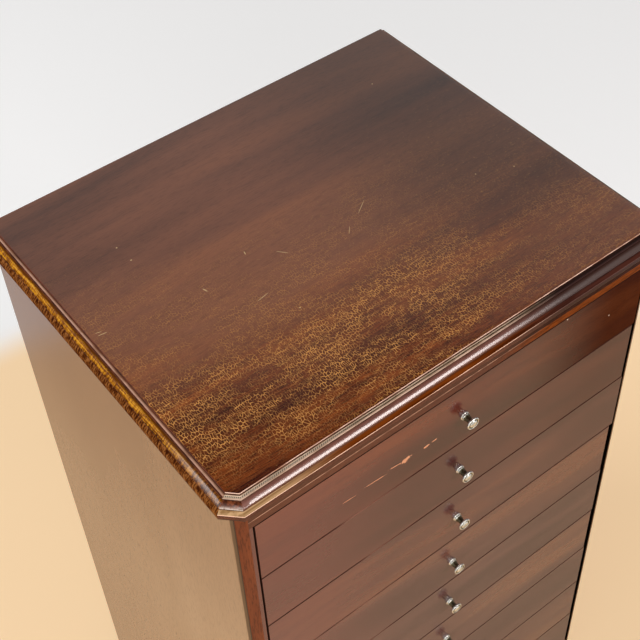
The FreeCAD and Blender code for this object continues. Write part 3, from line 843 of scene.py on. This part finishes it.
def moulding_profile():
    """The profile's points in metres, and the band that each stretch between them belongs to."""
    points = [(-INSET, 0.0)]
    bands = []

    def go(new_points, band):
        points.extend(new_points)
        bands.extend([band] * len(new_points))

    go([(-ARRIS_WEAR, 0.0)], FACE_BAND)
    go(arc((-ARRIS_WEAR, ARRIS_WEAR), ARRIS_WEAR, 0, 90, 5)[1:] + [(0.0, ARRIS_DROP)], ARRIS_BAND)
    go([(0.0, TREAD_DROP - INNER_FILLET), (INNER_FILLET, TREAD_DROP)], DARK_BAND)
    go([(INNER_WIDTH, TREAD_DROP)], INNER_BAND)
    go([(TREAD_WIDTH - OUTER_WIDTH, TREAD_DROP)], TREAD_BAND)
    go(arc((TREAD_WIDTH - OUTER_WEAR, TREAD_DROP + OUTER_WEAR), OUTER_WEAR, 0, 90, 4), OUTER_BAND)
    go([(TREAD_WIDTH, TREAD_DROP + OUTER_DROP)], OUTER_BAND)
    go([(TREAD_WIDTH, TREAD_DROP + QUIRK_DROP)], DARK_BAND)
    for radius, start, end, steps in ROUND_ARCS:
        go(arc_on(points[-1], radius, start, end, steps), ROUND_BAND)
    go([(points[-1][0] + STEP_OUT, points[-1][1] + STEP_DROP)], DARK_BAND)
    slope_end = arc((LIP_REACH - LIP_WEAR, LIP_DROP + LIP_WEAR), LIP_WEAR, LIP_SLOPE, 90, 4)
    go(slope_end[:1], SLOPE_BAND)
    go(slope_end[1:] + [(LIP_REACH, LIP_DROP + RIM_DROP)], RIM_BAND)
    go([(LIP_REACH, BOARD - FOOT_RISE)], LIP_BAND)
    go(arc((LIP_REACH - LIP_WEAR, BOARD - LIP_WEAR), LIP_WEAR, 90, 180, 3), FOOT_BAND)
    go([(-INSET, BOARD)], UNDER_BAND)
    return [(out * MM, down * MM) for out, down in points], bands


# How far the front corners are cut, the step between points round the top, and the wear's scale and depth
CANT = 8.5 * MM
PATH_STEP = 8.0 * MM
WEAR_SCALE, WEAR_DEPTH = 30.0, 0.08


def outline_with_mitres(lo, hi):
    """Points along the arris of the top, each with the direction in which the moulding stands out.

    Each also has the number of its side, counted from the left round the front to the right."""
    reach = LIP_REACH * MM
    left, right, front, back = lo.x + reach, hi.x - reach, lo.y + reach, hi.y
    corners = [(left, back), (left, front + CANT), (left + CANT, front), (right - CANT, front),
               (right, front + CANT), (right, back)]
    corners = [Vector(corner) for corner in corners]
    normals = []
    for first, second in zip(corners, corners[1:]):
        run = (second - first).normalized()
        normals.append(Vector((run.y, -run.x)))
    mitres = [normals[0]]
    mitres += [(one + two) / (1 + one.dot(two)) for one, two in zip(normals, normals[1:])]
    mitres.append(normals[-1])
    path = []
    for index in range(len(corners) - 1):
        length = (corners[index + 1] - corners[index]).length
        steps = max(1, round(length / PATH_STEP))
        for step in range(steps):
            share = step / steps
            path.append((corners[index].lerp(corners[index + 1], share),
                         mitres[index].lerp(mitres[index + 1], share), index))
    path.append((corners[-1], mitres[-1], len(corners) - 2))
    return path


def worn(point, out_way):
    """The point moved a few hundredths of a millimetre, as hand work and wear leave an arris."""
    drift = noise.noise(point * WEAR_SCALE) * WEAR_DEPTH * MM
    return Vector((point.x - out_way.x * abs(drift), point.y - out_way.y * abs(drift), point.z + drift))


def build_top(end_bands, cant_bands, long_bands):
    """The top board, with its moulding swept round three sides and the canted corners.

    Each list gives the materials of the bands on one kind of side."""
    lo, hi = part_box("top")
    path = outline_with_mitres(lo, hi)
    profile, bands = moulding_profile()
    rows = len(profile)
    vertices = []
    for place, out_way, _ in path:
        for index, (out, down) in enumerate(profile):
            point = Vector((place.x + out_way.x * out, place.y + out_way.y * out, hi.z - down))
            if 0 < index < rows - 1 and place.y < hi.y - MM:
                point = worn(point, out_way)
            vertices.append(point)
    materials = end_bands + cant_bands + long_bands
    kind_of_side = (0, 1, 2, 1, 0)
    faces, slots = [], []
    for step in range(len(path) - 1):
        first_slot = kind_of_side[path[step][2]] * BANDS
        for index in range(rows - 1):
            corner = step * rows + index
            faces.append((corner, corner + 1, corner + rows + 1, corner + rows))
            slots.append(first_slot + bands[index])
    last = (len(path) - 1) * rows
    faces.append(tuple(step * rows for step in range(len(path))))
    faces.append(tuple(step * rows + rows - 1 for step in reversed(range(len(path)))))
    faces.append(tuple(range(rows - 1, -1, -1)) + tuple(range(last, last + rows)))
    slots += [FACE_BAND, UNDER_BAND, UNDER_BAND]
    made = new_piece("top_board", vertices, faces, materials, slots, sharp=32.0)
    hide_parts("top")
    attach(made, "carcass")


# Radius and reach of the knob from the drawer's face, in millimetres
KNOB_PROFILE = ((4.6, 0.0), (4.85, 0.3), (4.85, 0.8), (4.5, 1.2), (4.0, 1.4), (3.95, 1.7), (4.3, 2.1),
                (4.35, 2.6), (4.0, 3.1), (3.6, 3.6), (3.35, 4.6), (3.15, 6.0), (3.0, 7.4), (2.9, 8.4),
                (3.0, 9.0), (3.5, 9.5), (4.6, 10.0), (5.8, 10.5), (6.6, 11.0), (6.95, 11.5), (7.0, 12.1),
                (6.85, 12.7), (6.45, 13.1), (5.95, 13.2), (5.6, 13.0), (5.35, 12.6), (4.9, 12.45),
                (4.5, 12.6), (4.25, 13.0), (3.7, 13.4), (2.8, 13.75), (1.5, 13.95), (0.0, 14.0))
# Where the metal is black, in millimetres: the stem between two reaches, and the groove in the head
STEM_RADIUS, STEM_REACH = 4.1, (2.9, 9.8)
GROOVE_RADIUS, GROOVE_REACH = (4.3, 5.7), 11.8
BOLT_RADIUS, BOLT_LENGTH, BOLT_PLAY = 2.0, 19.0, 0.2
# How much the bolt's end is eased, across and along
BOLT_EASE = (0.3, 0.4)
NUT_RADIUS, NUT_LENGTH, FRONT_THICKNESS = 4.0, 3.0, 14.0
NUT_SIDES = 6
TURNS = 48


def ring(radius, place, centre, sides):
    """Points in a ring about the knob's axis."""
    turns = [2 * math.pi * turn / sides for turn in range(sides)]
    return [(centre[0] + radius * MM * math.cos(turn), place, centre[1] + radius * MM * math.sin(turn))
            for turn in turns]


def lathe(profile, centre, face, vertices, faces):
    """Turns a profile of radius and reach about the knob's axis, which points out of the drawer's face."""
    rings = []
    for radius, reach in profile:
        points = ring(radius, face - reach * MM, centre, TURNS if radius else 1)
        rings.append(range(len(vertices), len(vertices) + len(points)))
        vertices.extend(points)
    for first, second in zip(rings, rings[1:]):
        for turn in range(TURNS):
            after = (turn + 1) % TURNS
            if len(first) == 1:
                faces.append((first[0], second[after], second[turn]))
            elif len(second) == 1:
                faces.append((first[turn], first[after], second[0]))
            else:
                faces.append((first[turn], first[after], second[after], second[turn]))


def hexagon_nut(centre, face, vertices, faces):
    """The nut inside the drawer, a ring of six sides clear of the bolt."""
    start = len(vertices)
    bore = BOLT_RADIUS + BOLT_PLAY
    section = ((NUT_RADIUS, 0.0), (NUT_RADIUS, NUT_LENGTH), (bore, NUT_LENGTH), (bore, 0.0))
    for radius, deep in section:
        vertices.extend(ring(radius, face + (FRONT_THICKNESS + deep) * MM, centre, NUT_SIDES))
    for index in range(len(section)):
        near_ring = start + index * NUT_SIDES
        far_ring = start + (index + 1) % len(section) * NUT_SIDES
        for turn in range(NUT_SIDES):
            after = (turn + 1) % NUT_SIDES
            faces.append((near_ring + turn, near_ring + after, far_ring + after, far_ring + turn))


def tarnished(radius, reach):
    """Whether the knob is black at this radius and reach."""
    on_stem = radius < STEM_RADIUS and STEM_REACH[0] < reach < STEM_REACH[1]
    in_groove = GROOVE_RADIUS[0] < radius < GROOVE_RADIUS[1] and reach > GROOVE_REACH
    return on_stem or in_groove


def build_knob(number, materials):
    """A drawer's knob with its bolt and its nut."""
    name = f"drawer_{number}_knob"
    lo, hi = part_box(name)
    centre = ((lo.x + hi.x) / 2, (lo.z + hi.z) / 2)
    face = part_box(f"drawer_{number}_front")[0].y
    vertices, faces = [], []
    bolt = ((0.0, -BOLT_LENGTH), (BOLT_RADIUS - BOLT_EASE[0], -BOLT_LENGTH),
            (BOLT_RADIUS, BOLT_EASE[1] - BOLT_LENGTH), (BOLT_RADIUS, 0.0))
    lathe(bolt + KNOB_PROFILE, centre, face, vertices, faces)
    hexagon_nut(centre, face, vertices, faces)
    slots = []
    for corners in faces:
        points = [vertices[corner] for corner in corners]
        radius = sum(math.hypot(x - centre[0], z - centre[1]) for x, _, z in points) / len(points) / MM
        reach = sum(face - y for _, y, _ in points) / len(points) / MM
        slots.append(int(tarnished(radius, reach)))
    made = new_piece(f"knob_{number}", vertices, faces, materials, slots, sharp=50.0)
    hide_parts(name)
    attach(made, f"drawer_{number}")


WELD_REACH = 0.01 * MM
EDGE_ROUND, EDGE_STEPS, EDGE_ANGLE = 1.8 * MM, 3, 40


def soften(node_name):
    """Rounds the sharp edges of a board that comes from the frame."""
    board = nodes[node_name]
    weld = board.modifiers.new("weld", "WELD")
    weld.merge_threshold = WELD_REACH
    bevel = board.modifiers.new("worn_edges", "BEVEL")
    bevel.width = EDGE_ROUND
    bevel.segments = EDGE_STEPS
    bevel.limit_method = "ANGLE"
    bevel.angle_limit = math.radians(EDGE_ANGLE)


def paint(node_name, material):
    board = nodes[node_name]
    board.data.materials.clear()
    board.data.materials.append(material)


# Pieces and their finishes

# The fronts turn greyer from the top drawer down, a painted sheen of bluish window light,
# each with its own grain, and the red ends get weaker
SHEEN_START, SHEEN_DRAWERS = 0.05, 4
FRONT_SEED, SEED_STEP = 5.0, 0.37
RED_END = 0.9
WAXED = 0.45

slip_wood = polished_wood("slip_mahogany", ALONG_Z, RED_TONES, seed=4.0)
lining_wood = plain_wood("drawer_lining", ALONG_Y, PALE_TONES, WAXED)
lining_back_wood = plain_wood("drawer_back_lining", ALONG_X, PALE_TONES, WAXED)
panel_wood = plain_wood("drawer_panel", ALONG_X, PLY_TONES)
case_wood = plain_wood("case_softwood", ALONG_X, PINE_TONES)
back_wood = plain_wood("back_ply", ALONG_Z, PLY_TONES)
sides_wood = side_wood()
nickel = knob_metal("aged_nickel", (0.48, 0.47, 0.41), (0.92, 0.93, 0.89), smooth=0.20)
black_nickel = knob_metal("black_nickel", (0.050, 0.042, 0.026), (0.200, 0.180, 0.110), smooth=0.22)

face, tread = crazed_top(), tread_wood()
# Painted shade for the moulding's corners and the underside of its lip
corner_shade = painted_corner_shade("brown_corner_shade", (0.040, 0.015, 0.008), (0.120, 0.050, 0.027))
end_corner_shade = painted_corner_shade("red_corner_shade", (0.040, 0.008, 0.001), (0.120, 0.026, 0.006))
# Bright arrises and steps of the moulding: rubbed wear, with painted highlights along their lit edges
arris = arris_wear_and_light("arris_wear_and_highlight", (0.84, 0.55, 0.42), (0.46, 0.22, 0.13))
inner = arris_wear_and_light("step_wear_and_highlight", (0.96, 0.74, 0.54), (0.58, 0.42, 0.29), (0.030, 0.011, 0.008))
outer = arris_wear_and_light("step_edge_wear_and_highlight", (0.60, 0.41, 0.30), (0.32, 0.20, 0.13), (0.035, 0.012, 0.009))
rim = arris_wear_and_light("rim_wear_and_highlight", (1.00, 0.62, 0.44), (0.66, 0.37, 0.23), (0.10, 0.040, 0.030))
# The left end's arris is painted dark red, as shade of its drop
red_arris_shade = arris_wear_and_light("red_arris_shade", (0.130, 0.028, 0.012), (0.050, 0.010, 0.006))
end_inner = arris_wear_and_light("end_step", (0.34, 0.17, 0.10), (0.22, 0.10, 0.055))
# The left end's step is painted pale: wear, with a painted highlight
lit_end_tread = arris_wear_and_light("end_step_wear_and_highlight", (0.66, 0.38, 0.27), (0.40, 0.21, 0.13))
gold, lip_ends = golden_end_grain(), lip_end_grain()
slope, rail = weathered_slope(), rail_wood()
# The lip of the moulding is between the rail and the top in colour
lip = long_wood("lip_mahogany", mixed(RAIL_TONES, TOP_TONES, 0.35), 7.0, 0.4, (0.040, 0.013, 0.009))
build_top([face, red_arris_shade, end_corner_shade, end_inner, lit_end_tread, end_corner_shade, gold, lip_ends, lip_ends, lip_ends,
           end_corner_shade, case_wood],
          [face, arris, corner_shade, inner, tread, outer, cant_round(), slope, rim, lip, corner_shade, case_wood],
          [face, arris, corner_shade, inner, tread, outer, ovolo_wood(), slope, rim, lip, lip, case_wood])
for hand in ("left", "right"):
    paint(f"{hand}_side", sides_wood)
    soften(f"{hand}_side")
    paint(f"{hand}_runners", lining_wood)
paint("left_slip", slip_wood)
paint("top_rail", rail)
base = long_wood("base_mahogany", RED_TONES, 8.0, 0.8, contrast=0.9, pores=0.7)
for base_part in ("plinth", "bottom_board"):
    paint(base_part, base)
for case_part in ("rear_rail", "top_blocks", "plinth_blocks"):
    paint(case_part, case_wood)
paint("back_panel", back_wood)
for number in range(1, DRAWERS + 1):
    # Lower fronts take more of the painted sheen
    sheen_share = min(1.0, (number - 1) / SHEEN_DRAWERS + SHEEN_START)
    tones = mixed(RED_TONES, GREY_SHEEN_TONES, sheen_share)
    if number == 1:
        front_wood = chipped_front(tones)
    else:
        seed = FRONT_SEED + number * SEED_STEP
        front_wood = polished_wood(f"front_{number}_mahogany", ALONG_X, tones, seed, RED_END / number)
    paint(f"drawer_{number}_front", front_wood)
    paint(f"drawer_{number}_sides", lining_wood)
    paint(f"drawer_{number}_back", lining_back_wood)
    paint(f"drawer_{number}_bottom", panel_wood)
    build_knob(number, [nickel, black_nickel])


# Stage, light and camera

FLOOR_HALF = 12.0
FLOOR_WARM = (0.87, 0.635, 0.390)
FLOOR_WHITE = (0.85, 0.85, 0.85)
FLOOR_LIFT = 0.27
WARM_MIDDLE = (-0.20, -0.30, 0.0)
WARM_RADIUS = (1.12, 1.22)

# The room's brightness from below to above, its dimmer wall at the right, and what the camera sees of it
ROOM_SHADES = [(0.0, (0.83, 0.82, 0.81)), (0.58, (0.81, 0.80, 0.79)), (0.72, (0.43, 0.43, 0.44)),
               (0.82, (0.05, 0.05, 0.05))]
WALL_RIGHT, WALL_HEIGHT, WALL_SHADE = (0.62, 0.80), (0.50, 0.30), 0.15
SEEN_ROOM = (0.80, 0.80, 0.80)

# Softboxes: name, place, target, width, height, radiance and colour
SOFTBOXES = (
    ("front_softbox", (1.06, -2.99, 2.45), (0.0, -0.20, 0.87), 1.40, 0.45, 26.0, (1.0, 0.92, 0.88)),
    ("near_softbox", (-1.60, -2.40, 2.20), (0.0, -0.20, 0.6), 1.6, 1.2, 3.5, WHITE),
    ("left_fill", (-2.60, 1.40, 2.30), (0.0, 0.0, 0.4), 2.4, 1.6, 4.6, WHITE),
)


def build_stage():
    """A plain pale floor, warm round the cabinet and white further out."""
    half = FLOOR_HALF
    corners = [(-half, -half, 0), (half, -half, 0), (half, half, 0), (-half, half, 0)]
    floor = new_piece("floor", corners, [(0, 1, 2, 3)], [])
    made, shader, point = new_material("pale_floor")
    far = length_of(vector_calc("SUBTRACT", point, WARM_MIDDLE))
    colour = blend(between(far, *WARM_RADIUS), FLOOR_WARM, FLOOR_WHITE)
    plug(shader, {"Base Color": colour, "Roughness": 0.8, "Specular IOR Level": 0.1})
    # A paler background for the camera, which lights nothing
    lift = times(add("LightPath").outputs["Is Camera Ray"], FLOOR_LIFT)
    plug(shader, {"Emission Color": colour, "Emission Strength": lift})
    floor.data.materials.append(made)


def build_world():
    """A white room, dimmer overhead and at the right-hand wall."""
    world = bpy.data.worlds.new("room")
    scene.world = world
    world.use_nodes = True
    work_in(world.node_tree)
    background = tree.nodes["Background"]
    right, _, height = parts(add("TexCoord").outputs["Generated"])
    wall = times(between(right, *WALL_RIGHT), between(height, *WALL_HEIGHT))
    shade = ramp(height, ROOM_SHADES)
    shade = darken(shade, between(wall, 0.0, 1.0, 1.0, WALL_SHADE))
    seen = blend(add("LightPath").outputs["Is Camera Ray"], shade, SEEN_ROOM)
    plug(background, {"Color": seen, "Strength": 1.0})


def build_light(name, place, target, width, height, radiance, colour):
    """A softbox that faces its target. Its power follows from its size and its brightness."""
    light = bpy.data.lights.new(name, "AREA")
    light.color = colour
    light.shape = "RECTANGLE"
    light.size = width
    light.size_y = height
    light.energy = radiance * width * height * math.pi
    made = bpy.data.objects.new(name, light)
    made.location = place
    made.rotation_euler = (Vector(place) - Vector(target)).to_track_quat("Z", "Y").to_euler()
    scene.collection.objects.link(made)


def build_camera():
    """The photograph's camera, turned by its azimuth, its drop and its roll."""
    azimuth, drop, roll = (math.radians(angle) for angle in (CAMERA_AZIMUTH, CAMERA_DROP, CAMERA_ROLL))
    ahead = Vector((math.sin(azimuth) * math.cos(drop), math.cos(azimuth) * math.cos(drop), -math.sin(drop)))
    level = Vector((math.cos(azimuth), -math.sin(azimuth), 0.0))
    above = level.cross(ahead)
    right = math.cos(roll) * level + math.sin(roll) * above
    up = -math.sin(roll) * level + math.cos(roll) * above
    lens = bpy.data.cameras.new("camera")
    lens.sensor_width = SENSOR
    lens.lens = FOCAL_PIXELS / FRAME_PIXELS * SENSOR
    lens.shift_y = (MIDDLE_ROW - FRAME_PIXELS / 2) / FRAME_PIXELS
    camera = bpy.data.objects.new("camera", lens)
    turn = Matrix((right, up, -ahead)).transposed()
    camera.matrix_world = Matrix.Translation(CAMERA_PLACE) @ turn.to_4x4()
    scene.collection.objects.link(camera)
    scene.camera = camera


build_stage()
build_world()
for softbox in SOFTBOXES:
    build_light(*softbox)
build_camera()
